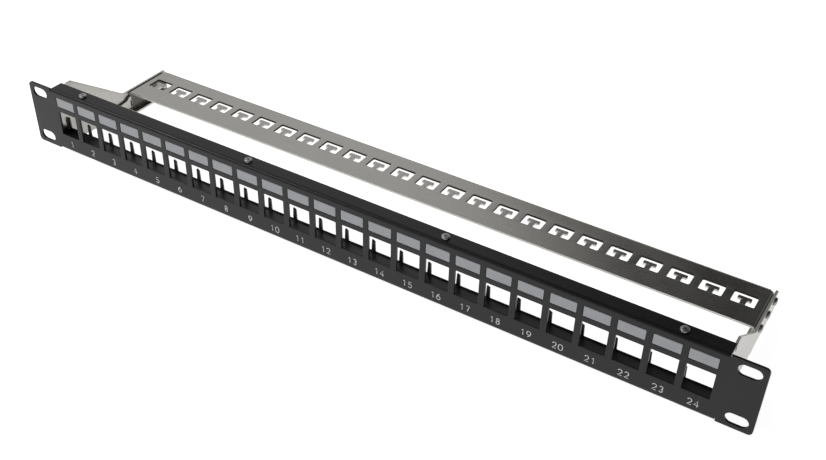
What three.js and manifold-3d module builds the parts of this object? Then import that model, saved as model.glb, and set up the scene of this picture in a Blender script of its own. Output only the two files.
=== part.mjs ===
// A 19-inch, one-unit patch panel for snap-in jacks, with a cable tie bar behind it.
// Units are millimetres, +X to the right along the panel, +Y backwards, +Z up.
// The origin is the centre of the plate's rear face, the plane that seats on the rack rails.
import * as THREE from 'three';
import { mergeVertices } from 'three/addons/utils/BufferGeometryUtils.js';
import Module from 'manifold-3d';

const wasm = await Module();
wasm.setup();

// ---------------------------------------------------------------- driving dimensions
const CLEAR = 0.3;                 // gap left between neighbouring pieces
const FIT = 0.1;                   // gap under screw heads and clamped sheets
const OVER = 1;                    // how far a cutting tool passes a face

const PANEL_W = 482.6;
const PANEL_H = 43.6;
const SHEET = 1.5;                 // thickness of every sheet-metal part
const EAR_R = 2.5;
const BODY_HALF = 222.3;           // half length of the folded middle
const BEND_R = 1.8;                // outer radius of the folds
const FOLD_DEPTH = 10.85;          // front face to the back of the lips
const LIP_H = 5;
const RELIEF_W = 0.3;
const RELIEF_H = 2;

const SLOT_X = 232.55;             // rack slots, 465.1 apart
const SLOT_Z = 15.875;             // and 31.75 apart
const SLOT_W = 12;
const SLOT_H = 6.8;

const PORTS = 24;
const PITCH = 18.32;
const PORT_W = 14.6;
const PORT_H = 16.75;
const PORT_Z = -1.525;

const LABEL_W = 14.6;
const LABEL_H = 6.35;
const LABEL_T = 0.35;
const LABEL_Z = 13.6;
const RECESS_RIM = 0.25;
const RECESS_DEPTH = 0.5;

const SCREW_XS = [-198, -66, 66, 198];
const SCREW_Y = 3.2;
const SCREW_R = 1.35;
const SCREW_HOLE_R = 1.7;
const HEAD_R = 2.4;
const HEAD_H = 1.4;
const CROSS_L = 2.8;
const CROSS_W = 0.7;
const CROSS_DEPTH = 0.9;
const ROUND = 14;                  // sides of a round piece
const ARC = 4;                     // steps in a quarter bend

const LEDGE_T = 1.4;
const LEDGE_HALF = 220.2;
const LEDGE_FOOT_HALF = 186;
const LEDGE_REAR = 7.4;
const LEG_Y = [4.95, 5.95];
const FOOT_FRONT = 1;
const LOWER_SHELF_Z = -10.9;
const UPPER_SHELF_Z = 9.6;
const RIM = 0.8;
const POST_Y = [6.2, 7.4];
const POST_TOP_Z = -2;
const POST_W = [2.6, 1.8];         // width at the shelf and at the top
const POST_SLANT = 1;

const ARM_X = [220.7, 222.2];      // inner and outer face of the side arm
const ARM_TAB_INNER = 190;
const ARM_FRONT = 0.7;
const ARM_REAR = 98.3;
const ARM_TOP_Z = 20.6;
const ARM_BOTTOM_Z = -25;
const ARM_FRONT_BOTTOM_Z = -20.6;
const ARM_SHOULDER_Y = 15.2;
const ARM_FLANGE_W = 5;
const ARM_SLOPE = Math.SQRT2;      // run per unit of fall behind the shoulder

const BAR_HALF = 220.5;
const BAR_Y = [61.3, 95.5];        // flat part, between the front edge and the hem
const BAR_TOP_Z = -9;
const BAR_FLANGE_Z = -22;
const HEM = { radius: 2.6, height: 4.5, half: 218.4 };
const EAR_OUTLINE = [[48.5, -15.2], [57, -14.5], [60, -12.4]];
const EAR_SLOT = { y: [60.2, 61.8], z: [-20, -15] };
const TIE_PITCH = 18.135;
const CUT = { width: 13.3, front: 75.6, rear: 85.8 };
const TONGUE = { stemW: 3.1, neckY: 79.9, headW: 7.8, headY: 82.6 };
const END_SCREW_YS = [67, 80, 93];
const END_SCREW_Z = -13.3;

const plateFront = -SHEET;
const halfH = PANEL_H / 2;
const lipRear = FOLD_DEPTH - SHEET;
const innerZ = halfH - SHEET;      // inner face of the top and bottom folds
const lipEndZ = halfH - LIP_H;

// ---------------------------------------------------------------- materials
const blackPaint = { color: 0x2b2b2c, roughness: 0.6, metalness: 0.2 };
const blackSteel = { color: 0x1b1b1c, roughness: 0.55, metalness: 0.3 };
const zincSteel = { color: 0xa9a6a0, roughness: 0.42, metalness: 0.9 };
const labelGrey = { color: 0x9c9fa6, roughness: 0.75, metalness: 0 };
const screwSteel = { color: 0x8f9096, roughness: 0.35, metalness: 0.9 };

// ---------------------------------------------------------------- solid helpers
function solid(geometry) {
  geometry.deleteAttribute('normal');
  geometry.deleteAttribute('uv');
  const merged = mergeVertices(geometry, 1e-5);
  const mesh = new wasm.Mesh({
    numProp: 3,
    vertProperties: new Float32Array(merged.attributes.position.array),
    triVerts: new Uint32Array(merged.index.array),
  });
  return new wasm.Manifold(mesh);
}

function box(x, y, z) {
  const geometry = new THREE.BoxGeometry(x[1] - x[0], y[1] - y[0], z[1] - z[0]);
  geometry.translate((x[0] + x[1]) / 2, (y[0] + y[1]) / 2, (z[0] + z[1]) / 2);
  return solid(geometry);
}

function prism(shape, span, basis) {
  const settings = { depth: span[1] - span[0], bevelEnabled: false, curveSegments: ARC };
  const geometry = new THREE.ExtrudeGeometry(shape, settings);
  geometry.translate(0, 0, span[0]);
  geometry.applyMatrix4(new THREE.Matrix4().makeBasis(...basis));
  return solid(geometry);
}

const X = new THREE.Vector3(1, 0, 0);
const Y = new THREE.Vector3(0, 1, 0);
const Z = new THREE.Vector3(0, 0, 1);
const alongX = (shape, span) => prism(shape, span, [Y, Z, X]);
const alongZ = (shape, span) => prism(shape, span, [X, Y, Z]);
const alongY = (shape, span) => prism(shape, [-span[1], -span[0]], [X, Z, Y.clone().negate()]);

function polygon(points) {
  return new THREE.Shape(points.map((p) => new THREE.Vector2(...p)));
}

function cylinder(radius, from, to, axis) {
  const length = new THREE.Vector3().subVectors(to, from).length();
  const geometry = new THREE.CylinderGeometry(radius, radius, length, ROUND);
  geometry.applyQuaternion(new THREE.Quaternion().setFromUnitVectors(Y, axis));
  const middle = new THREE.Vector3().addVectors(from, to).multiplyScalar(0.5);
  geometry.translate(middle.x, middle.y, middle.z);
  return solid(geometry);
}

const addAll = (first, rest) => rest.reduce((sum, piece) => sum.add(piece), first);
const cutAll = (first, rest) => rest.reduce((left, tool) => left.subtract(tool), first);
const flipZ = (piece) => piece.mirror([0, 0, 1]);
const flipX = (piece) => piece.mirror([1, 0, 0]);

const panel = new THREE.Group();

function place(name, piece, look) {
  const mesh = piece.getMesh();
  const geometry = new THREE.BufferGeometry();
  geometry.setAttribute('position', new THREE.BufferAttribute(mesh.vertProperties, 3));
  geometry.setIndex(new THREE.BufferAttribute(mesh.triVerts, 1));
  geometry.computeVertexNormals();
  const node = new THREE.Mesh(geometry, new THREE.MeshStandardMaterial(look));
  node.name = name;
  panel.add(node);
}

const rowX = (index, pitch) => (index - (PORTS - 1) / 2) * pitch;
const portX = (index) => rowX(index, PITCH);
const portIndexes = [...Array(PORTS).keys()];

// ---------------------------------------------------------------- front panel
function roundedPlate() {
  const w = PANEL_W / 2 - EAR_R;
  const h = halfH - EAR_R;
  const shape = new THREE.Shape();
  shape.absarc(w, h, EAR_R, 0, Math.PI / 2);
  shape.absarc(-w, h, EAR_R, Math.PI / 2, Math.PI);
  shape.absarc(-w, -h, EAR_R, Math.PI, Math.PI * 1.5);
  shape.absarc(w, -h, EAR_R, Math.PI * 1.5, Math.PI * 2);
  return alongY(shape, [plateFront, 0]);
}

function foldedSection() {
  // One closed outline in Y and Z: front wall, top fold, top lip, and the same below.
  const shape = new THREE.Shape();
  const r = BEND_R;
  const inner = BEND_R - SHEET;
  shape.absarc(plateFront + r, halfH - r, r, Math.PI, Math.PI / 2, true);
  shape.absarc(lipRear - r, halfH - r, r, Math.PI / 2, 0, true);
  shape.lineTo(lipRear, lipEndZ);
  shape.lineTo(lipRear - SHEET, lipEndZ);
  shape.absarc(lipRear - r, halfH - r, inner, 0, Math.PI / 2);
  shape.absarc(plateFront + r, halfH - r, inner, Math.PI / 2, Math.PI);
  shape.absarc(plateFront + r, -halfH + r, inner, Math.PI, Math.PI * 1.5);
  shape.absarc(lipRear - r, -halfH + r, inner, Math.PI * 1.5, Math.PI * 2);
  shape.lineTo(lipRear - SHEET, -lipEndZ);
  shape.lineTo(lipRear, -lipEndZ);
  shape.absarc(lipRear - r, -halfH + r, r, 0, -Math.PI / 2, true);
  shape.absarc(plateFront + r, -halfH + r, r, -Math.PI / 2, -Math.PI, true);
  return alongX(shape, [-BODY_HALF, BODY_HALF]);
}

function rackSlot(x, z) {
  const r = SLOT_H / 2;
  const run = SLOT_W / 2 - r;
  const shape = new THREE.Shape();
  shape.absarc(x + run, z, r, -Math.PI / 2, Math.PI / 2);
  shape.absarc(x - run, z, r, Math.PI / 2, Math.PI * 1.5);
  return alongY(shape, [plateFront - OVER, OVER]);
}

function screwHole(x, side) {
  const from = new THREE.Vector3(x, SCREW_Y, side * (halfH + OVER));
  const to = new THREE.Vector3(x, SCREW_Y, side * (innerZ - LEDGE_T - OVER - SHEET));
  return cylinder(SCREW_HOLE_R, from, to, Z);
}

const edgeHoles = [1, -1].flatMap((side) => SCREW_XS.map((x) => screwHole(x, side)));

function frontPanel() {
  const through = [plateFront - OVER, OVER];
  const reach = BODY_HALF + RELIEF_W;
  const strips = [1, -1].map((side) => {
    const z = [side * (halfH - BEND_R), side * (halfH + OVER)].sort((a, b) => a - b);
    return box([-reach, reach], through, z);
  });
  const reliefs = [1, -1].flatMap((side) => [1, -1].map((end) => {
    const x = [end * BODY_HALF, end * reach].sort((a, b) => a - b);
    const z = [side * (halfH - RELIEF_H), side * (halfH + OVER)].sort((a, b) => a - b);
    return box(x, through, z);
  }));
  const slots = [1, -1].flatMap((side) => [1, -1].map((end) => (
    rackSlot(end * SLOT_X, side * SLOT_Z))));
  const openings = portIndexes.map((index) => {
    const x = portX(index);
    const z = [PORT_Z - PORT_H / 2, PORT_Z + PORT_H / 2];
    return box([x - PORT_W / 2, x + PORT_W / 2], through, z);
  });
  const recesses = portIndexes.map((index) => {
    const x = portX(index);
    const halfW = LABEL_W / 2 + RECESS_RIM;
    const halfL = LABEL_H / 2 + RECESS_RIM;
    const y = [plateFront - OVER, plateFront + RECESS_DEPTH];
    return box([x - halfW, x + halfW], y, [LABEL_Z - halfL, LABEL_Z + halfL]);
  });
  const sheet = cutAll(roundedPlate(), strips).add(foldedSection());
  return cutAll(sheet, [...reliefs, ...slots, ...openings, ...recesses, ...edgeHoles]);
}

// ---------------------------------------------------------------- labels
function label(index) {
  const x = portX(index);
  const back = plateFront + RECESS_DEPTH;
  const y = [back - LABEL_T, back];
  return box([x - LABEL_W / 2, x + LABEL_W / 2], y, [LABEL_Z - LABEL_H / 2, LABEL_Z + LABEL_H / 2]);
}

// ---------------------------------------------------------------- jack ledges
function ledgeFoot(shelfZ) {
  // A leg and a foot that reach from the shelf to the fold above it.
  const top = innerZ - FIT;
  const leg = box([-LEDGE_FOOT_HALF, LEDGE_FOOT_HALF], LEG_Y, [shelfZ - LEDGE_T, top]);
  const footY = [FOOT_FRONT, LEG_Y[1]];
  const foot = box([-LEDGE_FOOT_HALF, LEDGE_FOOT_HALF], footY, [top - LEDGE_T, top]);
  return leg.add(foot);
}

function upperLedge() {
  const span = [-LEDGE_HALF, LEDGE_HALF];
  const shelf = box(span, [CLEAR, LEG_Y[1]], [UPPER_SHELF_Z - LEDGE_T, UPPER_SHELF_Z]);
  return cutAll(shelf.add(ledgeFoot(UPPER_SHELF_Z)), edgeHoles);
}

function dividerPost(x) {
  const base = LOWER_SHELF_Z - LEDGE_T / 2;
  const low = POST_W[0] / 2;
  const high = POST_W[1] / 2;
  const outline = [
    [x - low, base],
    [x + low, base],
    [x + high, POST_TOP_Z - POST_SLANT],
    [x - high, POST_TOP_Z],
  ];
  return alongY(polygon(outline), POST_Y);
}

function lowerLedge() {
  const span = [-LEDGE_HALF, LEDGE_HALF];
  const under = LOWER_SHELF_Z - LEDGE_T;
  const shelf = box(span, [CLEAR, LEDGE_REAR], [under, LOWER_SHELF_Z]);
  const rim = box(span, [LEDGE_REAR - RIM, LEDGE_REAR], [under, LOWER_SHELF_Z + RIM]);
  const leg = flipZ(ledgeFoot(-LOWER_SHELF_Z + LEDGE_T));
  const posts = [...Array(PORTS + 1).keys()].map((index) => dividerPost(portX(index) - PITCH / 2));
  const ends = box(span, [0, LEDGE_REAR], [-halfH, halfH]);
  const whole = addAll(shelf, [rim, leg, ...posts]).intersect(ends);
  return cutAll(whole, edgeHoles);
}

// ---------------------------------------------------------------- side arms
function rightArm() {
  const neckFront = lipRear - SHEET - CLEAR;
  const neckRear = lipRear + CLEAR;
  const neckZ = lipEndZ - CLEAR;
  const insideZ = innerZ - FIT;
  const barZ = BAR_TOP_Z - FIT;
  const slopeEnd = ARM_SHOULDER_Y + (ARM_TOP_Z - barZ) * ARM_SLOPE;
  const outline = [
    [ARM_FRONT, -insideZ],
    [neckFront, -insideZ],
    [neckFront, -neckZ],
    [neckRear, -neckZ],
    [neckRear, ARM_FRONT_BOTTOM_Z],
    [BAR_Y[0], ARM_BOTTOM_Z],
    [ARM_REAR, ARM_BOTTOM_Z],
    [ARM_REAR, barZ],
    [slopeEnd, barZ],
    [ARM_SHOULDER_Y, ARM_TOP_Z],
    [neckRear, ARM_TOP_Z],
    [neckRear, neckZ],
    [neckFront, neckZ],
    [neckFront, insideZ],
    [ARM_FRONT, insideZ],
  ];
  const plate = alongX(polygon(outline), ARM_X);
  const tabX = [ARM_TAB_INNER, ARM_X[1]];
  const tab = box(tabX, [ARM_FRONT, neckFront], [insideZ - SHEET, insideZ]);
  const flangeX = [ARM_X[0] - ARM_FLANGE_W, ARM_X[1]];
  const flangeY = [BAR_Y[0], ARM_REAR - OVER];
  const flange = box(flangeX, flangeY, [ARM_BOTTOM_Z, ARM_BOTTOM_Z + SHEET]);
  const whole = addAll(plate, [tab, flipZ(tab), flange]);
  return cutAll(whole, [...edgeHoles, ...endScrewHoles]);
}

function endScrewHole(y) {
  const from = new THREE.Vector3(ARM_X[1] + OVER, y, END_SCREW_Z);
  const to = new THREE.Vector3(BAR_HALF - SHEET - OVER, y, END_SCREW_Z);
  return cylinder(SCREW_HOLE_R, from, to, X);
}

const endScrewHoles = END_SCREW_YS.map(endScrewHole);

// ---------------------------------------------------------------- cable tie bar
function barSheet() {
  // An upside-down U in X and Z with rounded outer folds.
  const shape = new THREE.Shape();
  const centreX = BAR_HALF - BEND_R;
  const centreZ = BAR_TOP_Z - BEND_R;
  const inner = BEND_R - SHEET;
  shape.moveTo(BAR_HALF, BAR_FLANGE_Z);
  shape.absarc(centreX, centreZ, BEND_R, 0, Math.PI / 2);
  shape.absarc(-centreX, centreZ, BEND_R, Math.PI / 2, Math.PI);
  shape.lineTo(-BAR_HALF, BAR_FLANGE_Z);
  shape.lineTo(-BAR_HALF + SHEET, BAR_FLANGE_Z);
  shape.absarc(-centreX, centreZ, inner, Math.PI, Math.PI / 2, true);
  shape.absarc(centreX, centreZ, inner, Math.PI / 2, 0, true);
  shape.lineTo(BAR_HALF - SHEET, BAR_FLANGE_Z);
  return alongY(shape, BAR_Y);
}

function tieCut(x) {
  // A rectangular window that leaves a T-shaped tongue standing in from the front.
  const half = CUT.width / 2;
  const stem = TONGUE.stemW / 2;
  const head = TONGUE.headW / 2;
  const outline = [
    [-half, CUT.front],
    [-stem, CUT.front],
    [-stem, TONGUE.neckY],
    [-head, TONGUE.neckY],
    [-head, TONGUE.headY],
    [head, TONGUE.headY],
    [head, TONGUE.neckY],
    [stem, TONGUE.neckY],
    [stem, CUT.front],
    [half, CUT.front],
    [half, CUT.rear],
    [-half, CUT.rear],
  ].map(([dx, y]) => [x + dx, y]);
  return alongZ(polygon(outline), [BAR_TOP_Z - SHEET - OVER, BAR_TOP_Z + OVER]);
}

function barHem() {
  // The rear edge rolls down through a quarter turn and ends in a short straight lip.
  const shape = new THREE.Shape();
  const r = HEM.radius;
  const rear = BAR_Y[1] + r;
  const end = BAR_TOP_Z - HEM.height;
  shape.moveTo(BAR_Y[1] - OVER, BAR_TOP_Z - SHEET);
  shape.absarc(BAR_Y[1], BAR_TOP_Z - r, r - SHEET, Math.PI / 2, 0, true);
  shape.lineTo(rear - SHEET, end);
  shape.lineTo(rear, end);
  shape.absarc(BAR_Y[1], BAR_TOP_Z - r, r, 0, Math.PI / 2);
  shape.lineTo(BAR_Y[1] - OVER, BAR_TOP_Z);
  return alongX(shape, [-HEM.half, HEM.half]);
}

function barEar() {
  const wall = [BAR_HALF - SHEET, BAR_HALF];
  const rear = BAR_Y[0] + OVER;
  const [front] = EAR_OUTLINE[0];
  const [, top] = EAR_OUTLINE[EAR_OUTLINE.length - 1];
  const outline = [[front, BAR_FLANGE_Z], [rear, BAR_FLANGE_Z], [rear, top]];
  const ear = alongX(polygon([...outline, ...EAR_OUTLINE.toReversed()]), wall);
  return ear.subtract(box([wall[0] - OVER, wall[1] + OVER], EAR_SLOT.y, EAR_SLOT.z));
}

function cableBar() {
  const ear = barEar();
  const whole = addAll(barSheet(), [barHem(), ear, flipX(ear)]);
  const cuts = portIndexes.map((index) => tieCut(rowX(index, TIE_PITCH)));
  return cutAll(whole, [...cuts, ...endScrewHoles, ...endScrewHoles.map(flipX)]);
}

// ---------------------------------------------------------------- screws
function panScrew(length) {
  // Axis along +Z, with the underside of the head at zero.
  const profile = new THREE.Path();
  profile.moveTo(0, -length);
  profile.lineTo(SCREW_R, -length);
  profile.lineTo(SCREW_R, 0);
  profile.lineTo(HEAD_R, 0);
  profile.lineTo(HEAD_R, HEAD_H / 2);
  profile.quadraticCurveTo(HEAD_R, HEAD_H, HEAD_R / 2, HEAD_H);
  profile.lineTo(0, HEAD_H);
  const geometry = new THREE.LatheGeometry(profile.getPoints(3), ROUND);
  geometry.rotateX(Math.PI / 2);
  const depth = [HEAD_H - CROSS_DEPTH, HEAD_H + OVER];
  const long = [-CROSS_L / 2, CROSS_L / 2];
  const wide = [-CROSS_W / 2, CROSS_W / 2];
  return cutAll(solid(geometry), [box(long, wide, depth), box(wide, long, depth)]);
}

// ---------------------------------------------------------------- assembly
place('front_panel', frontPanel(), blackPaint);
place('upper_ledge', upperLedge(), blackSteel);
place('lower_ledge', lowerLedge(), blackSteel);
place('cable_bar', cableBar(), zincSteel);
place('right_arm', rightArm(), zincSteel);
place('left_arm', flipX(rightArm()), zincSteel);

for (const index of portIndexes) {
  place(`label_${String(index + 1).padStart(2, '0')}`, label(index), labelGrey);
}

const topScrew = panScrew(SHEET * 4);
SCREW_XS.forEach((x, index) => {
  const top = topScrew.translate([x, SCREW_Y, halfH + FIT]);
  place(`top_screw_${index + 1}`, top, screwSteel);
  place(`bottom_screw_${index + 1}`, flipZ(top), screwSteel);
});

const endScrew = panScrew(SHEET * 3).rotate([0, 90, 0]);
END_SCREW_YS.forEach((y, index) => {
  const right = endScrew.translate([ARM_X[1] + FIT, y, END_SCREW_Z]);
  place(`right_end_screw_${index + 1}`, right, screwSteel);
  place(`left_end_screw_${index + 1}`, flipX(right), screwSteel);
});

export default panel;
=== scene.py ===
import math

import bmesh
import bpy
from mathutils import Matrix, Quaternion, Vector


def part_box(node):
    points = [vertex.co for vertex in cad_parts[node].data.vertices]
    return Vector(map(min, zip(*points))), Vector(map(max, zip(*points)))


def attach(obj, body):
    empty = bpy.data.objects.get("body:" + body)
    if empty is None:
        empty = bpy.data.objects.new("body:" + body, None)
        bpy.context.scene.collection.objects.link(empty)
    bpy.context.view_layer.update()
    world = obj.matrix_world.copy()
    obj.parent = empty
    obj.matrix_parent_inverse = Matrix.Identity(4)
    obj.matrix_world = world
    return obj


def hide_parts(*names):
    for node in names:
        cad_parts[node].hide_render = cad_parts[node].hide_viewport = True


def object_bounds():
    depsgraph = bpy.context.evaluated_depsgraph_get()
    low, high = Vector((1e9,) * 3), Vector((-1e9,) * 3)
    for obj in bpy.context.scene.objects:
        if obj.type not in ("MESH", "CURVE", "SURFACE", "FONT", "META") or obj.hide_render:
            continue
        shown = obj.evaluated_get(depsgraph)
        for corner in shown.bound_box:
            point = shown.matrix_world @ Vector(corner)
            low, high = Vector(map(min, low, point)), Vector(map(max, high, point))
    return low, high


# A 24-port, one-unit patch panel with a cable tie bar behind it.
# The frame is in metres: +X right along the panel, +Y back, +Z up, and the origin is the
# centre of the plate's rear face. Shapes are worked out in millimetres and scaled by MM.
# Sheet parts are made as real ones are: punched from a flat blank, then folded.
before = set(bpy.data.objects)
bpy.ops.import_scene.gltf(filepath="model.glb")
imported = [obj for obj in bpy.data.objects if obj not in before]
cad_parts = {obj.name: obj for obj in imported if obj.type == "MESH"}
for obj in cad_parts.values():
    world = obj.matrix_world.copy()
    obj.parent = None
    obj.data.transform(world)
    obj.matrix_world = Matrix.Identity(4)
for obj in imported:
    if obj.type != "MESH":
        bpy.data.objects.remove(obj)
CAD_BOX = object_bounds()
MM = 0.001
BODY = "root"


def node_box(node):
    """Lowest and highest corner of a CAD node, in millimetres."""
    low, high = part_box(node)
    return low / MM, high / MM


# ---------------------------------------------------------------- sizes, in millimetres
PANEL_LOW, PANEL_HIGH = node_box("front_panel")
BAR_LOW, BAR_HIGH = node_box("cable_bar")
ARM_LOW, ARM_HIGH = node_box("right_arm")

PORTS = 24
PORT_NAMES = [f"{number:02d}" for number in range(1, PORTS + 1)]
LABEL_BOXES = [node_box(f"label_{name}") for name in PORT_NAMES]
PORT_XS = [(low.x + high.x) / 2 for low, high in LABEL_BOXES]

SHEET = 1.5                 # thickness of every sheet part
BEND_R = 1.8                # outer radius of the folds
QUARTER = math.pi / 2
BEND_ARC = BEND_R * QUARTER
RIM = 0.14                  # rounding of a punched edge
BEND_STEPS = 6
CORNER_STEPS = 5
CUT_NEAR = 1e-5             # how near a fold line a point counts as on it
WELD = 0.0003               # points closer than this are one point
ROUGH_WELD = 1e-3           # the same, for meshes made from curves or read from the frame
RIM_RISE = (0.05, 0.99)     # a face that slopes this much belongs to a rounded edge
SHARP = 35                  # degrees between faces that softened() rounds off
SMOOTH = 38                 # degrees between faces that are shaded as one surface
LEVEL = 0.9                 # a normal with this much of an axis in it lies along that axis

BODY_HALF = 222.3
EAR_R = 2.5
RELIEF_W = 0.3
RELIEF_H = 2
LIP_H = 5
SLOT_X = 232.55
SLOT_Z = 15.875
SLOT_W = 12
SLOT_H = 6.8
SLOT_R = SLOT_H / 2 - 0.01
PORT_W = 14.6
PORT_H = 16.75
PORT_Z = -1.525
PORT_CORNER = 0.35
RECESS_RIM = 0.25
RECESS_DEPTH = 0.5
RECESS_EDGE = 0.05
LABEL_R = 0.4
LABEL_EDGE = 0.08

SCREW_XS = [-198, -66, 66, 198]
SCREW_Y = 3.2
HOLE_R = 1.7
SHANK_R = 1.35
HEAD_R = 2.4
HEAD_H = 1.4
HEAD_EDGE = 0.12            # chamfer under the head
CROWN_DROP = 0.1            # the head's rounded edge tops out this far below HEAD_H
CROSS_R = 1.45              # reach of the cross recess
CROSS_W = 0.7
CROSS_DEPTH = 0.9
CROSS_TAPER = (0.35, 0.6)   # reach and width at the bottom, as shares of those at the top
CROSS_OVER = 0.2            # how far the cutter stands out of the head
CROWN = 3.6                 # radius of the head's domed top, in head radii
CROWN_SWEEP = 9.5           # degrees of that dome, from its middle
THREAD_PITCH = 0.5
THREAD_DEPTH = 0.22
THREAD_START = 0.25         # plain shank under the head
TIP_LENGTH = 0.2
TIP_IN = 0.5                # how much thinner the tip is than the shank
FIRST_TURN = 25             # degrees that the first screw's cross is turned
NEXT_TURN = 37              # and each one after it

BAR_HALF = BAR_HIGH.x
BAR_TOP_Z = BAR_HIGH.z
BAR_BOTTOM_Z = BAR_LOW.z
BAR_FRONT = 61.3
HEM_R = 2.6                 # rounded rear edge of the bar
HEM_DEPTH = 4.5
HEM_HALF = 218.4            # the hem stops short of the bar's ends
HEM_BEND = BAR_HIGH.y - HEM_R
HEM_CORNER = 0.6
EAR_FRONT = BAR_LOW.y
EAR_RELIEF = 0.6
EAR_OUTLINE = [(48.5, -15.2), (57, -14.5), (60, -12.4)]
EAR_CORNER = 1.2
EAR_ROOT_R = 0.4
EAR_SLOT_Y = [60.2, 61.8]
EAR_SLOT_Z = [-20, -15]
EAR_SLOT_R = 0.7
BAR_CORNER = 1
TIE_PITCH = 18.135
TIE_XS = [(index - (PORTS - 1) / 2) * TIE_PITCH for index in range(PORTS)]
CUT_W = 13.3
CUT_Y = [75.6, 85.8]
CUT_CORNER = 0.9
STEM_W = 3.1
STEM_R = 0.3
TONGUE_R = 0.5
NECK_Y = 79.9
HEAD_W = 7.8
HEAD_Y = 82.6
END_SCREW_YS = [67, 80, 93]
END_SCREW_Z = -13.3
# How dark the painted shade on the bar flanges' inner faces is, out of 1.
FLANGE_PAINTED_SHADE = 0.85         # darkness of the flanges' inner faces, out of 1

ARM_OUT = ARM_HIGH.x
ARM_TOP_Z = ARM_HIGH.z
ARM_BOTTOM_Z = ARM_LOW.z
ARM_FRONT_BOTTOM_Z = -20.6
ARM_SHOULDER_Y = 15.2
ARM_FLANGE_W = 5
ARM_NECK_Z = 16.5
ARM_CLEAR = 0.3             # gap on each side of a panel lip, where the arm is notched
ARM_NECK_Y = [PANEL_HIGH.y - SHEET - ARM_CLEAR, PANEL_HIGH.y + ARM_CLEAR]
ARM_RELIEF = 0.6
ARM_CORNER = 2
ARM_NECK_R = 0.8
ARM_FLANGE_R = 1
ARM_REAR_R = 1.5
ARM_SLOPE_R = 6             # where the arm's slope meets its level part
ARM_FRONT = 0.7
TAB_INNER = ARM_LOW.x
TAB_Z = 20.2

LEDGE_EDGE = 0.15           # rounding of the ledges' edges

NUMBER_Z = -15.8            # middle height of the printed port numbers
NUMBER_W = 2.35             # between stroke middles
NUMBER_H = 3.85
NUMBER_STEP = 3.55          # from one digit to the next
STROKE = 0.5
INK_FLAT = 0.2              # ink height as a share of the stroke's width


# ---------------------------------------------------------------- camera
CAMERA_AT = Vector((0.28281, -0.39186, 0.36461))
CAMERA_AIM = Vector((0.03329, 0.0242, 0))
CAMERA_ROLL = math.radians(1.506)
CAMERA_LENS = 46.9
SENSOR = 36


def make_camera():
    data = bpy.data.cameras.new("view")
    data.lens = CAMERA_LENS
    data.sensor_width = SENSOR
    camera = bpy.data.objects.new("view", data)
    turn = (CAMERA_AIM - CAMERA_AT).to_track_quat("-Z", "Y")
    turn = turn @ Quaternion((0, 0, 1), CAMERA_ROLL)
    camera.matrix_world = Matrix.Translation(CAMERA_AT) @ turn.to_matrix().to_4x4()
    bpy.context.scene.collection.objects.link(camera)
    bpy.context.scene.camera = camera


# ---------------------------------------------------------------- outlines
def arc(centre, radius, start, end, steps=10):
    """Points along an arc, from one angle to the other in degrees."""
    angles = [math.radians(start + (end - start) * step / steps) for step in range(steps + 1)]
    return [(centre[0] + radius * math.cos(a), centre[1] + radius * math.sin(a)) for a in angles]


def rounded(corners, radius=0.0, steps=CORNER_STEPS):
    """A closed outline. A corner is rounded by radius, or by its own third number."""
    points = []
    ring = list(corners)
    for before, corner, after in zip(ring[-1:] + ring[:-1], ring, ring[1:] + ring[:1]):
        at = Vector(corner[:2])
        size = corner[2] if len(corner) > 2 else radius
        if size == 0:
            points.append(tuple(at))
            continue
        back = (Vector(before[:2]) - at).normalized()
        ahead = (Vector(after[:2]) - at).normalized()
        half = back.angle(ahead) / 2
        centre = at + (back + ahead).normalized() * (size / math.sin(half))
        reach = size / math.tan(half)
        first = at + back * reach - centre
        last = at + ahead * reach - centre
        start = math.atan2(first.y, first.x)
        sweep = math.remainder(math.atan2(last.y, last.x) - start, math.tau)
        for step in range(steps + 1):
            angle = start + sweep * step / steps
            points.append((centre.x + size * math.cos(angle), centre.y + size * math.sin(angle)))
    return points


def rectangle(x, y, width, height, radius=0.0):
    w, h = width / 2, height / 2
    return rounded([(x - w, y - h), (x + w, y - h), (x + w, y + h), (x - w, y + h)], radius)


def circle(x, y, radius, steps=24):
    return arc((x, y), radius, 0, 360 * (steps - 1) / steps, steps - 1)


def mirrored(corners):
    """The same corners on the other side of x 0."""
    return [(-corner[0], *corner[1:]) for corner in corners]


def turned(points, anticlockwise):
    area = sum(a[0] * b[1] - b[0] * a[1] for a, b in zip(points, points[1:] + points[:1]))
    return points if (area > 0) == anticlockwise else points[::-1]


# ---------------------------------------------------------------- solids
def curve_mesh(curve):
    """The mesh of a curve, welded, as a bmesh."""
    holder = bpy.data.objects.new("holder", curve)
    bpy.context.scene.collection.objects.link(holder)
    mesh = bpy.data.meshes.new_from_object(
        holder.evaluated_get(bpy.context.evaluated_depsgraph_get()))
    bpy.data.objects.remove(holder)
    work = bmesh.new()
    work.from_mesh(mesh)
    bpy.data.meshes.remove(mesh)
    bmesh.ops.remove_doubles(work, verts=work.verts, dist=ROUGH_WELD)
    return work


def blank(outlines, holes=(), thickness=SHEET, rim=RIM):
    """A flat sheet from z 0 to thickness, with its holes punched and its rims rounded."""
    curve = bpy.data.curves.new("blank", "CURVE")
    curve.dimensions = "2D"
    curve.fill_mode = "BOTH"
    curve.extrude = thickness / 2 - rim
    curve.bevel_depth = rim
    curve.bevel_resolution = 1
    curve.offset = -rim
    loops = [turned(loop, True) for loop in outlines] + [turned(loop, False) for loop in holes]
    for loop in loops:
        spline = curve.splines.new("POLY")
        spline.points.add(len(loop) - 1)
        for point, (x, y) in zip(spline.points, loop):
            point.co = (x, y, 0, 1)
        spline.use_cyclic_u = True
    work = curve_mesh(curve)
    bmesh.ops.translate(work, verts=work.verts, vec=(0, 0, thickness / 2))
    mark_rims(work)
    return work


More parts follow.
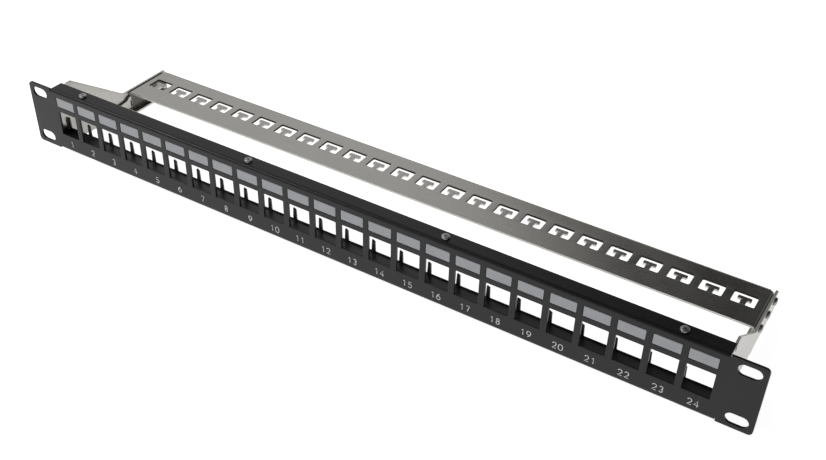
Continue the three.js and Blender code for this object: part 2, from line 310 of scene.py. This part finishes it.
def mark_rims(work):
    """Marks the faces of rounded edges, where paint and plating wear first."""
    layer = work.faces.layers.float.new("rim")
    work.normal_update()
    for face in work.faces:
        face[layer] = 1.0 if RIM_RISE[0] < abs(face.normal.z) < RIM_RISE[1] else 0.0


def mark_sheared(work):
    """Marks the walls of a flat blank, left rough and pale by the shear."""
    layer = work.faces.layers.float.new("sheared")
    work.normal_update()
    for face in work.faces:
        face[layer] = 1.0 if abs(face.normal.z) < LEVEL else 0.0


def fold(work, axis, start, side, radius=BEND_R, keep=lambda co: True):
    """Folds what lies past start towards +z by a right angle."""
    length = radius * QUARTER
    normal = Vector((0, 0, 0))
    normal[axis] = 1
    for step in range(BEND_STEPS + 1):
        crease = Vector((0, 0, 0))
        crease[axis] = start + side * length * step / BEND_STEPS
        parts = work.verts[:] + work.edges[:] + work.faces[:]
        bmesh.ops.bisect_plane(work, geom=parts, dist=CUT_NEAR, plane_co=crease,
                               plane_no=normal)
    for vert in work.verts:
        past = (vert.co[axis] - start) * side
        if past <= 0 or not keep(vert.co):
            continue
        turn = min(past / radius, QUARTER)
        rest = max(past - length, 0)
        depth = radius - vert.co.z
        vert.co[axis] = start + side * (depth * math.sin(turn) + rest * math.cos(turn))
        vert.co.z = radius - depth * math.cos(turn) + rest * math.sin(turn)


def place(work, x_axis, y_axis, z_axis, origin=(0, 0, 0)):
    """Moves a solid drawn in its own axes to its place in the frame's axes."""
    matrix = Matrix((x_axis, y_axis, z_axis)).transposed().to_4x4()
    bmesh.ops.transform(work, matrix=Matrix.Translation(origin) @ matrix, verts=work.verts)


def cut(work, tool):
    """Cuts one closed solid out of another."""
    holders = []
    for part in (work, tool):
        mesh = bpy.data.meshes.new("part")
        bmesh.ops.recalc_face_normals(part, faces=part.faces)
        part.to_mesh(mesh)
        part.free()
        holders.append(bpy.data.objects.new("part", mesh))
        bpy.context.scene.collection.objects.link(holders[-1])
    modifier = holders[0].modifiers.new("cut", "BOOLEAN")
    modifier.object = holders[1]
    modifier.operation = "DIFFERENCE"
    modifier.solver = "MANIFOLD"
    mesh = bpy.data.meshes.new_from_object(
        holders[0].evaluated_get(bpy.context.evaluated_depsgraph_get()))
    result = bmesh.new()
    result.from_mesh(mesh)
    for holder in holders:
        bpy.data.objects.remove(holder)
    bmesh.ops.remove_doubles(result, verts=result.verts, dist=WELD)
    return result


def softened(node, width):
    """A copy of a CAD solid in millimetres, with every sharp edge rounded off."""
    work = bmesh.new()
    work.from_mesh(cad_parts[node].data)
    bmesh.ops.scale(work, vec=(1 / MM, 1 / MM, 1 / MM), verts=work.verts)
    bmesh.ops.remove_doubles(work, verts=work.verts, dist=ROUGH_WELD)
    bmesh.ops.dissolve_limit(
        work, angle_limit=math.radians(1), verts=work.verts, edges=work.edges)
    sharp = [edge for edge in work.edges if edge.calc_face_angle(0) > math.radians(SHARP)]
    bmesh.ops.bevel(work, geom=sharp, offset=width, segments=2, profile=0.5, affect="EDGES")
    return work


def lathe(profile, steps=32):
    """A solid of revolution about z from (radius, height) points, from axis to axis."""
    work = bmesh.new()
    verts = [work.verts.new((r, 0, z)) for r, z in profile]
    edges = [work.edges.new(pair) for pair in zip(verts, verts[1:])]
    bmesh.ops.spin(work, geom=verts + edges, cent=(0, 0, 0), axis=(0, 0, 1),
                   angle=math.tau, steps=steps, use_merge=True)
    bmesh.ops.remove_doubles(work, verts=work.verts, dist=WELD)
    return work


def piece(name, work, material, nodes=()):
    """Puts a finished solid on the frame, in metres, standing for its CAD nodes."""
    bmesh.ops.dissolve_degenerate(work, dist=WELD, edges=work.edges)
    bmesh.ops.scale(work, vec=(MM, MM, MM), verts=work.verts)
    bmesh.ops.recalc_face_normals(work, faces=work.faces)
    mesh = bpy.data.meshes.new(name)
    work.to_mesh(mesh)
    work.free()
    mesh.polygons.foreach_set("use_smooth", [True] * len(mesh.polygons))
    mesh.set_sharp_from_angle(angle=math.radians(SMOOTH))
    mesh.materials.append(material)
    made = bpy.data.objects.new(name, mesh)
    bpy.context.scene.collection.objects.link(made)
    weighted = made.modifiers.new("weighted", "WEIGHTED_NORMAL")
    weighted.keep_sharp = True
    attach(made, BODY)
    if nodes:
        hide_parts(*nodes)
    return made


# ---------------------------------------------------------------- materials
class Finish:
    """A principled material whose colour, roughness and bump come from noise."""

    def __init__(self, name):
        self.material = bpy.data.materials.new(name)
        self.material.use_nodes = True
        self.tree = self.material.node_tree
        self.shader = self.tree.nodes["Principled BSDF"]
        self.coords = self.tree.nodes.new("ShaderNodeTexCoord")
        self.normal = None

    def link(self, source, target):
        self.tree.links.new(source, target)

    def noise(self, scale, detail=2.0, stretch=(1, 1, 1), rough=0.5):
        """Noise with features of 1/scale metres, drawn out by stretch."""
        mapping = self.tree.nodes.new("ShaderNodeMapping")
        mapping.inputs["Scale"].default_value = stretch
        self.link(self.coords.outputs["Object"], mapping.inputs["Vector"])
        node = self.tree.nodes.new("ShaderNodeTexNoise")
        node.inputs["Scale"].default_value = scale
        node.inputs["Detail"].default_value = detail
        node.inputs["Roughness"].default_value = rough
        self.link(mapping.outputs["Vector"], node.inputs["Vector"])
        return node.outputs["Fac"]

    def spread(self, source, low, high, start=0.3, end=0.7):
        """Maps a value from start..end to low..high."""
        node = self.tree.nodes.new("ShaderNodeMapRange")
        node.inputs["From Min"].default_value = start
        node.inputs["From Max"].default_value = end
        node.inputs["To Min"].default_value = low
        node.inputs["To Max"].default_value = high
        self.link(source, node.inputs["Value"])
        return node.outputs["Result"]

    def math(self, operation, first, second):
        node = self.tree.nodes.new("ShaderNodeMath")
        node.operation = operation
        for socket, value in zip(node.inputs, (first, second)):
            if isinstance(value, (int, float)):
                socket.default_value = value
            else:
                self.link(value, socket)
        return node.outputs["Value"]

    def mix(self, factor, first, second):
        """A colour between first and second; each is a colour or a socket."""
        node = self.tree.nodes.new("ShaderNodeMix")
        node.data_type = "RGBA"
        self.link(factor, node.inputs["Factor"])
        sockets = [socket for socket in node.inputs if socket.type == "RGBA"]
        for socket, value in zip(sockets, (first, second)):
            if isinstance(value, tuple):
                socket.default_value = (*value, 1)
            else:
                self.link(value, socket)
        return [socket for socket in node.outputs if socket.type == "RGBA"][0]

    def attribute(self, name):
        """A mark left on the faces by the mesh code."""
        node = self.tree.nodes.new("ShaderNodeAttribute")
        node.attribute_name = name
        return node.outputs["Fac"]

    def rim(self):
        """1 on a worn, rounded edge and 0 elsewhere, broken up by noise."""
        patches = self.spread(self.noise(260, 3), 0, 1, 0.35, 0.65)
        return self.math("MULTIPLY", self.attribute("rim"), patches)

    def bump(self, height, depth, strength=1.0):
        """Adds relief, depth metres high, on top of any relief already there."""
        node = self.tree.nodes.new("ShaderNodeBump")
        node.inputs["Distance"].default_value = depth
        node.inputs["Strength"].default_value = strength
        self.link(height, node.inputs["Height"])
        if self.normal:
            self.link(self.normal, node.inputs["Normal"])
        self.normal = node.outputs["Normal"]
        self.link(self.normal, self.shader.inputs["Normal"])

    def finish(self, color, roughness, metallic=0.0, specular=0.5):
        self.link(color, self.shader.inputs["Base Color"])
        self.link(roughness, self.shader.inputs["Roughness"])
        self.shader.inputs["Metallic"].default_value = metallic
        self.shader.inputs["Specular IOR Level"].default_value = specular
        return self.material


def powder_coat():
    """Fine-textured satin black powder coat, rubbed a little paler on its edges."""
    look = Finish("panel_paint")
    cloud = look.noise(38, 4)
    grain = look.noise(2600, 2)
    peel = look.noise(900, 3)
    flat = look.mix(look.spread(cloud, 0, 1), (0.008, 0.008, 0.0083), (0.012, 0.012, 0.0124))
    fine = look.mix(look.spread(grain, 0, 0.35), flat, (0.027, 0.027, 0.028))
    color = look.mix(look.math("MULTIPLY", look.rim(), 0.5), fine, (0.09, 0.09, 0.095))
    look.bump(peel, 0.00004, 0.5)
    look.bump(grain, 0.00002, 0.5)
    return look.finish(color, look.spread(cloud, 0.32, 0.39), specular=0.28)


def ledge_paint():
    """Semi-matt black paint on the jack ledges, with faint draw lines along X."""
    look = Finish("ledge_paint")
    cloud = look.noise(60, 3)
    lines = look.noise(40, 3, (1, 40, 40))
    color = look.mix(look.spread(cloud, 0, 1), (0.008, 0.008, 0.008), (0.014, 0.014, 0.014))
    look.bump(lines, 0.00004, 0.5)
    return look.finish(color, look.spread(lines, 0.34, 0.5))


def zinc_steel(name, stretch):
    """Satin zinc-plated steel, with fine rolling grain drawn out by stretch."""
    look = Finish(name)
    cloud = look.noise(30, 4)
    grain = look.noise(50, 4, stretch, 0.65)
    speck = look.noise(1700, 2)
    tone = look.mix(look.spread(cloud, 0, 1), (0.385, 0.375, 0.355), (0.44, 0.43, 0.405))
    lined = look.mix(look.spread(grain, 0, 0.45), tone, (0.33, 0.32, 0.30))
    bright = look.mix(look.math("MULTIPLY", look.rim(), 0.4), lined, (0.56, 0.55, 0.53))
    pale = look.mix(look.attribute("sheared"), bright, (0.66, 0.65, 0.63))
    # Painted shade: the marked window walls and flange insides are mixed towards near black.
    color = look.mix(look.attribute("painted_shade"), pale, (0.035, 0.033, 0.03))
    look.bump(grain, 0.00002, 0.35)
    look.bump(speck, 0.00002, 0.3)
    satin = look.math("ADD", look.spread(cloud, 0.24, 0.30), look.spread(grain, -0.02, 0.04))
    rough = look.math("ADD", satin, look.math("MULTIPLY", look.attribute("sheared"), 0.3))
    return look.finish(color, rough, metallic=1.0)


def label_film():
    """Matt light grey write-on film with a faint fibre grain."""
    look = Finish("label")
    cloud = look.noise(90, 3)
    fibre = look.noise(700, 3, (1, 1, 3))
    tone = look.mix(look.spread(cloud, 0, 1), (0.362, 0.371, 0.39), (0.405, 0.414, 0.433))
    color = look.mix(look.spread(fibre, 0, 0.3), tone, (0.34, 0.348, 0.366))
    look.bump(fibre, 0.00003, 0.4)
    return look.finish(color, look.spread(fibre, 0.5, 0.62))


def number_ink():
    """Light grey screen-printed ink, a little thin in places."""
    look = Finish("ink")
    thin = look.noise(1500, 2)
    color = look.mix(look.spread(thin, 0, 1), (0.60, 0.60, 0.61), (0.76, 0.76, 0.77))
    return look.finish(color, look.spread(thin, 0.45, 0.6))


def screw_steel():
    """Bright nickel-plated steel with faint turning marks."""
    look = Finish("screw_steel")
    cloud = look.noise(400, 3)
    color = look.mix(look.spread(cloud, 0, 1), (0.36, 0.36, 0.355), (0.50, 0.50, 0.49))
    look.bump(cloud, 0.00002, 0.4)
    return look.finish(color, look.spread(cloud, 0.34, 0.46), metallic=1.0)


def floor_paper():
    """Plain pale studio paper."""
    look = Finish("floor_paper")
    cloud = look.noise(3, 2)
    color = look.mix(look.spread(cloud, 0, 1), (0.86, 0.86, 0.86), (0.88, 0.88, 0.88))
    look.bump(look.noise(600, 3), 0.00005, 0.3)
    look.shader.inputs["Emission Color"].default_value = (1, 1, 1, 1)
    look.shader.inputs["Emission Strength"].default_value = FLOOR_GLOW
    return look.finish(color, look.spread(cloud, 0.7, 0.8), specular=0.2)


PANEL_PAINT = powder_coat()
LEDGE_PAINT = ledge_paint()
BAR_STEEL = zinc_steel("zinc_steel_bar", (1, 60, 60))
ARM_STEEL = zinc_steel("zinc_steel_arm", (60, 1, 60))
LABEL_FILM = label_film()
NUMBER_INK = number_ink()
SCREW_STEEL = screw_steel()


# ---------------------------------------------------------------- front panel
def front_panel():
    half_w = PANEL_HIGH.x
    half_h = PANEL_HIGH.z
    lip_rear = PANEL_HIGH.y
    front = PANEL_LOW.y
    bend = half_h - BEND_R
    flat = lip_rear - front - 2 * BEND_R
    lip_bend = bend + BEND_ARC + flat
    flap = lip_bend + BEND_ARC + LIP_H - BEND_R
    relief = BODY_HALF + RELIEF_W
    quarter = [
        (half_w, half_h, EAR_R),
        (relief, half_h),
        (relief, half_h - RELIEF_H),
        (BODY_HALF, half_h - RELIEF_H),
        (BODY_HALF, flap),
    ]
    upper = quarter + mirrored(quarter[::-1])
    lower = [(corner[0], -corner[1], *corner[2:]) for corner in upper[::-1]]
    outer = rounded(upper + lower)
    ports = [rectangle(x, PORT_Z, PORT_W, PORT_H, PORT_CORNER) for x in PORT_XS]
    slots = [rectangle(end * SLOT_X, side * SLOT_Z, SLOT_W, SLOT_H, SLOT_R)
             for end in (-1, 1) for side in (-1, 1)]
    hole = bend + BEND_ARC + SCREW_Y - (front + BEND_R)
    holes = [circle(x, side * hole, HOLE_R) for x in SCREW_XS for side in (-1, 1)]
    work = blank([outer], ports + slots + holes)

    def folded(co):
        """Whether a point lies between the ears, where the sheet is folded."""
        return abs(co.x) < BODY_HALF + RELIEF_W / 2

    for side in (-1, 1):
        fold(work, 1, side * lip_bend, side, keep=folded)
        fold(work, 1, side * bend, side, keep=folded)
    work = cut(work, label_pockets())
    place(work, (1, 0, 0), (0, 0, 1), (0, 1, 0), (0, front, 0))
    piece("front_panel_sheet", work, PANEL_PAINT, ["front_panel"])


def label_pockets():
    pockets = []
    for low, high in LABEL_BOXES:
        middle = (low + high) / 2
        size = high - low
        pockets.append(rectangle(middle.x, middle.z, size.x + 2 * RECESS_RIM,
                                 size.z + 2 * RECESS_RIM, RECESS_RIM))
    tool = blank(pockets, thickness=2 * RECESS_DEPTH, rim=RECESS_EDGE)
    bmesh.ops.translate(tool, verts=tool.verts, vec=(0, 0, -RECESS_DEPTH))
    return tool


def labels():
    for name, (low, high) in zip(PORT_NAMES, LABEL_BOXES):
        middle = (low + high) / 2
        size = high - low
        work = blank([rectangle(middle.x, middle.z, size.x, size.z, LABEL_R)],
                     thickness=size.y, rim=LABEL_EDGE)
        place(work, (1, 0, 0), (0, 0, 1), (0, 1, 0), (0, low.y, 0))
        piece(f"label_film_{name}", work, LABEL_FILM, [f"label_{name}"])


# ---------------------------------------------------------------- cable tie bar
def tie_cut(x):
    """A window that leaves a T-shaped tongue standing in from its front edge."""
    half, stem, head = CUT_W / 2, STEM_W / 2, HEAD_W / 2
    front, rear = CUT_Y
    right = [
        (stem, front, TONGUE_R),
        (stem, NECK_Y, STEM_R),
        (head, NECK_Y, TONGUE_R),
        (head, HEAD_Y, TONGUE_R),
    ]
    wall = [(half, front, CUT_CORNER), (half, rear, CUT_CORNER)]
    half_ring = right[::-1] + wall
    ring = half_ring + mirrored(half_ring[::-1])
    return [(x + u, *rest) for u, *rest in ring]


def cable_bar():
    half = BAR_HALF - BEND_R
    start = half + BEND_ARC - BEND_R

    def down(z):
        """How far from the middle a height on the folded end lies in the flat blank."""
        return start + BAR_TOP_Z - z

    hem = HEM_BEND + HEM_R * QUARTER + HEM_DEPTH - HEM_R
    ear = [(down(z), y, EAR_CORNER) for y, z in EAR_OUTLINE[::-1]]
    right = [
        (half - EAR_RELIEF, BAR_FRONT),
        (down(EAR_OUTLINE[-1][1]), BAR_FRONT, EAR_ROOT_R),
        *ear,
        (down(BAR_BOTTOM_Z), EAR_FRONT, BAR_CORNER),
        (down(BAR_BOTTOM_Z), HEM_BEND, BAR_CORNER),
        (HEM_HALF, HEM_BEND),
        (HEM_HALF, hem, HEM_CORNER),
    ]
    outer = rounded(right + mirrored(right)[::-1])
    windows = [rounded(tie_cut(x)) for x in TIE_XS]
    holes = [circle(end * down(END_SCREW_Z), y, HOLE_R) for y in END_SCREW_YS for end in (-1, 1)]
    slot_low, slot_high = EAR_SLOT_Z
    slot_front, slot_rear = EAR_SLOT_Y
    slots = [rectangle(end * down((slot_low + slot_high) / 2), (slot_front + slot_rear) / 2,
                       slot_high - slot_low, slot_rear - slot_front, EAR_SLOT_R)
             for end in (-1, 1)]
    work = blank([outer], windows + holes + slots)
    mark_sheared(work)
    mark_window_walls(work)
    fold(work, 1, HEM_BEND, 1, HEM_R, lambda co: abs(co.x) < HEM_HALF + RIM)
    for side in (-1, 1):
        fold(work, 0, side * half, side, BEND_R)
    bmesh.ops.recalc_face_normals(work, faces=work.faces)
    mark_flange_insides(work)
    place(work, (1, 0, 0), (0, 1, 0), (0, 0, -1), (0, 0, BAR_TOP_Z))
    piece("tie_bar_sheet", work, BAR_STEEL, ["cable_bar"])


def mark_window_walls(work):
    """Marks the outer walls of the windows for painted shade, the shade that falls under the bar.
    """
    layer = work.faces.layers.float.new("painted_shade")
    inside = CUT_W / 2 + RIM
    for face in work.faces:
        middle = face.calc_center_median()
        near = min(abs(middle.x - x) for x in TIE_XS)
        within = near < inside and CUT_Y[0] - RIM < middle.y < CUT_Y[1] + RIM
        outer = near > HEAD_W / 2 + RIM or middle.y > HEAD_Y + RIM
        face[layer] = 1.0 if within and outer and abs(face.normal.z) < 0.5 else 0.0


def mark_flange_insides(work):
    """Marks the inner faces of the bar's folded ends for painted shade, the shade under the bar.
    """
    layer = work.faces.layers.float["painted_shade"]
    work.normal_update()
    for face in work.faces:
        middle = face.calc_center_median()
        folded = abs(middle.x) > BAR_HALF - BEND_R and middle.y > BAR_FRONT
        inward = face.normal.x * middle.x < 0 and abs(face.normal.x) > LEVEL
        if folded and inward:
            face[layer] = FLANGE_PAINTED_SHADE


# ---------------------------------------------------------------- side arms
def side_arm(name, side):
    inner_z = -ARM_BOTTOM_Z - BEND_R
    flange = -inner_z - BEND_ARC - (ARM_FLANGE_W + SHEET - BEND_R)
    tab_bend = TAB_Z - BEND_R
    tab_end = tab_bend + BEND_ARC + ARM_OUT - TAB_INNER - BEND_R
    slope_end = ARM_SHOULDER_Y + (ARM_TOP_Z - BAR_TOP_Z) * math.sqrt(2)
    rear = ARM_HIGH.y
    neck_front, neck_rear = ARM_NECK_Y
    relief = BAR_FRONT - RELIEF_W
    corners = [
        (ARM_FRONT, -tab_end),
        (neck_front, -tab_end),
        (neck_front, -ARM_NECK_Z),
        (neck_rear, -ARM_NECK_Z, ARM_NECK_R),
        (neck_rear, ARM_FRONT_BOTTOM_Z, ARM_CORNER),
        (relief, ARM_BOTTOM_Z),
        (relief, -inner_z + ARM_RELIEF),
        (BAR_FRONT, -inner_z + ARM_RELIEF),
        (BAR_FRONT, flange, ARM_FLANGE_R),
        (rear, flange, ARM_FLANGE_R),
        (rear, BAR_TOP_Z, ARM_REAR_R),
        (slope_end, BAR_TOP_Z, ARM_SLOPE_R),
        (ARM_SHOULDER_Y, ARM_TOP_Z, ARM_CORNER),
        (neck_rear, ARM_TOP_Z, ARM_CORNER),
        (neck_rear, ARM_NECK_Z, ARM_NECK_R),
        (neck_front, ARM_NECK_Z),
        (neck_front, tab_end),
        (ARM_FRONT, tab_end),
    ]
    tab_hole = tab_bend + BEND_ARC + ARM_OUT - SCREW_XS[-1] - BEND_R
    holes = [circle(SCREW_Y, end * tab_hole, HOLE_R) for end in (-1, 1)]
    holes += [circle(y, END_SCREW_Z, HOLE_R) for y in END_SCREW_YS]
    work = blank([rounded(corners)], holes)
    mark_sheared(work)
    fold(work, 1, -inner_z, -1, keep=lambda co: co.x > relief + RELIEF_W / 2)
    for end in (-1, 1):
        fold(work, 1, end * tab_bend, end, keep=lambda co: co.x < neck_front + 1)
    place(work, (0, 1, 0), (0, 0, 1), (-side, 0, 0), (side * ARM_OUT, 0, 0))
    piece(f"{name}_sheet", work, ARM_STEEL, [name])


# ---------------------------------------------------------------- screws
def recess_wing(turn):
    """One tapered wing of the cross recess, narrower as it goes down."""
    work = bmesh.new()
    bmesh.ops.create_cube(work, size=1)
    for vert in work.verts:
        deep = vert.co.z < 0
        reach, width = CROSS_TAPER if deep else (1, 1)
        height = HEAD_H - CROSS_DEPTH if deep else HEAD_H + CROSS_OVER
        vert.co = (vert.co.x * 2 * (CROSS_R * reach), vert.co.y * (CROSS_W * width), height)
    bmesh.ops.rotate(work, verts=work.verts, cent=(0, 0, 0), matrix=Matrix.Rotation(turn, 3, "Z"))
    return work


def pan_screw(length):
    """A pan-head screw on +z, with the underside of its head at zero."""
    crown_r = CROWN * HEAD_R
    crown = arc((0, HEAD_H - crown_r), crown_r, 90, 90 - CROWN_SWEEP, 4)
    edge_r = HEAD_H / 2
    shoulder = arc((HEAD_R - edge_r, HEAD_H - edge_r - CROWN_DROP), edge_r, 75, 0, 6)
    profile = crown + shoulder
    profile += [(HEAD_R, HEAD_EDGE), (HEAD_R - HEAD_EDGE, 0), (SHANK_R, 0)]
    root = SHANK_R - THREAD_DEPTH
    turns = int(length / THREAD_PITCH) - 1
    for turn in range(turns):
        top = -THREAD_START - turn * THREAD_PITCH
        profile += [(root, top), (SHANK_R, top - THREAD_PITCH / 2)]
    profile += [(root, -length + TIP_LENGTH), (SHANK_R - TIP_IN, -length), (0, -length)]
    return lathe(profile)


def screws():
    groups = {"top": (2, 1, SHEET * 4), "bottom": (2, -1, SHEET * 4),
              "right_end": (0, 1, SHEET * 3), "left_end": (0, -1, SHEET * 3)}
    for group, (axis, side, length) in groups.items():
        nodes = [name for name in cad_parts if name.startswith(f"{group}_screw")]
        for count, name in enumerate(sorted(nodes)):
            low, high = node_box(name)
            middle = (low + high) / 2
            head = high[axis] if side > 0 else low[axis]
            middle[axis] = head - side * HEAD_H
            work = cut(cut(pan_screw(length), recess_wing(0)), recess_wing(QUARTER))
            turn = Matrix.Rotation(math.radians(FIRST_TURN + NEXT_TURN * count), 3, "Z")
            bmesh.ops.rotate(work, verts=work.verts, cent=(0, 0, 0), matrix=turn)
            aim = Vector([side if a == axis else 0 for a in range(3)])
            lay = aim.to_track_quat("Z", "Y").to_matrix()
            bmesh.ops.rotate(work, verts=work.verts, cent=(0, 0, 0), matrix=lay)
            bmesh.ops.translate(work, verts=work.verts, vec=middle)
            piece(f"{name}_part", work, SCREW_STEEL, [name])


# ---------------------------------------------------------------- port numbers
def digit_strokes(digit):
    """Stroke middles of a digit in a cell 2 wide and 3 high."""
    six = [
        arc((2.05, 0.95), 2.0, 105, 180),
        arc((1, 0.95), 0.95, 180, 540, 24),
    ]
    strokes = {
        "0": [arc((1, 2), 1, 0, 180) + arc((1, 1), 1, 180, 360) + [(2, 2)]],
        "1": [[(0.45, 2.35), (1.15, 3), (1.15, 0)]],
        "2": [arc((1, 2.1), 0.9, 165, -38) + [(0.1, 0), (1.95, 0)]],
        "3": [arc((1, 2.25), 0.75, 155, -90) + arc((1, 0.75), 0.75, 90, -155)],
        "4": [[(1.45, 0), (1.45, 3), (0, 0.85), (2, 0.85)]],
        "5": [[(1.75, 3), (0.4, 3), (0.27, 1.55)] + arc((1, 0.95), 0.95, 140, -150)],
        "6": six,
        "7": [[(0.1, 3), (1.9, 3), (0.75, 0)]],
        "8": [arc((1, 2.3), 0.7, -90, 270, 24), arc((1, 0.8), 0.8, 97.5, 457.5, 24)],
        "9": [[(2 - x, 3 - y) for x, y in stroke] for stroke in six],
    }
    return strokes[digit]


def port_number(name, x):
    digits = str(int(name))
    curve = bpy.data.curves.new("number", "CURVE")
    curve.dimensions = "3D"
    curve.bevel_depth = STROKE / 2
    curve.bevel_resolution = 2
    curve.use_fill_caps = True
    for count, digit in enumerate(digits):
        left = x + (count - (len(digits) - 1) / 2) * NUMBER_STEP - NUMBER_W / 2
        for stroke in digit_strokes(digit):
            spline = curve.splines.new("POLY")
            spline.use_cyclic_u = math.dist(stroke[0], stroke[-1]) < WELD
            ring = stroke[:-1] if spline.use_cyclic_u else stroke
            spline.points.add(len(ring) - 1)
            for point, (u, v) in zip(spline.points, ring):
                spot = (left + u * NUMBER_W / 2, NUMBER_Z - NUMBER_H / 2 + v * NUMBER_H / 3)
                point.co = (*spot, 0, 1)
    work = curve_mesh(curve)
    bmesh.ops.scale(work, vec=(1, 1, INK_FLAT), verts=work.verts)
    place(work, (1, 0, 0), (0, 0, 1), (0, 1, 0), (0, PANEL_LOW.y, 0))
    piece(f"port_number_{name}", work, NUMBER_INK)


# ---------------------------------------------------------------- studio
FLOOR_SIZE = 8
FLOOR_GLOW = 0.91           # the pale table is lit from below, so shadows on it stay faint
WORLD_GREY = 0.03


def panel_light(name, azimuth, elevation, distance, size, brightness):
    """A soft box that faces the origin; azimuth is from +Y towards +X, in degrees."""
    a, e = math.radians(azimuth), math.radians(elevation)
    at = distance * Vector((math.sin(a) * math.cos(e), math.cos(a) * math.cos(e), math.sin(e)))
    data = bpy.data.lights.new(name, "AREA")
    data.shape = "RECTANGLE"
    data.size, data.size_y = size
    data.energy = brightness * math.pi * size[0] * size[1]
    light = bpy.data.objects.new(name, data)
    turn = (-at).to_track_quat("-Z", "Y")
    light.matrix_world = Matrix.Translation(at) @ turn.to_matrix().to_4x4()
    bpy.context.scene.collection.objects.link(light)
    return light


def make_studio():
    work = bmesh.new()
    bmesh.ops.create_grid(work, x_segments=8, y_segments=8, size=FLOOR_SIZE / 2)
    mesh = bpy.data.meshes.new("floor")
    work.to_mesh(mesh)
    work.free()
    mesh.materials.append(floor_paper())
    floor = bpy.data.objects.new("floor", mesh)
    floor.location.z = CAD_BOX[0].z
    bpy.context.scene.collection.objects.link(floor)

    world = bpy.data.worlds.new("studio")
    world.use_nodes = True
    background = world.node_tree.nodes["Background"]
    background.inputs["Color"].default_value = (WORLD_GREY, WORLD_GREY, WORLD_GREY, 1)
    bpy.context.scene.world = world
    bpy.context.scene.view_settings.view_transform = "Standard"

    panel_light("back_left", -58, 36, 2.2, (2.6, 1.9), 0.75)
    panel_light("front_left", -124, 41, 2.2, (0.8, 0.3), 17)
    panel_light("front", 170, 50, 2.4, (1.2, 0.5), 0.8)
    panel_light("back_low", 4, 13, 2.4, (3.0, 0.8), 0.75)


# ---------------------------------------------------------------- assembly
make_camera()
make_studio()
front_panel()
labels()
for port_name, port_x in zip(PORT_NAMES, PORT_XS):
    port_number(port_name, port_x)
for node_name in ("upper_ledge", "lower_ledge"):
    ledge = softened(node_name, LEDGE_EDGE)
    piece(f"{node_name}_part", ledge, LEDGE_PAINT, [node_name])
cable_bar()
side_arm("right_arm", 1)
side_arm("left_arm", -1)
screws()
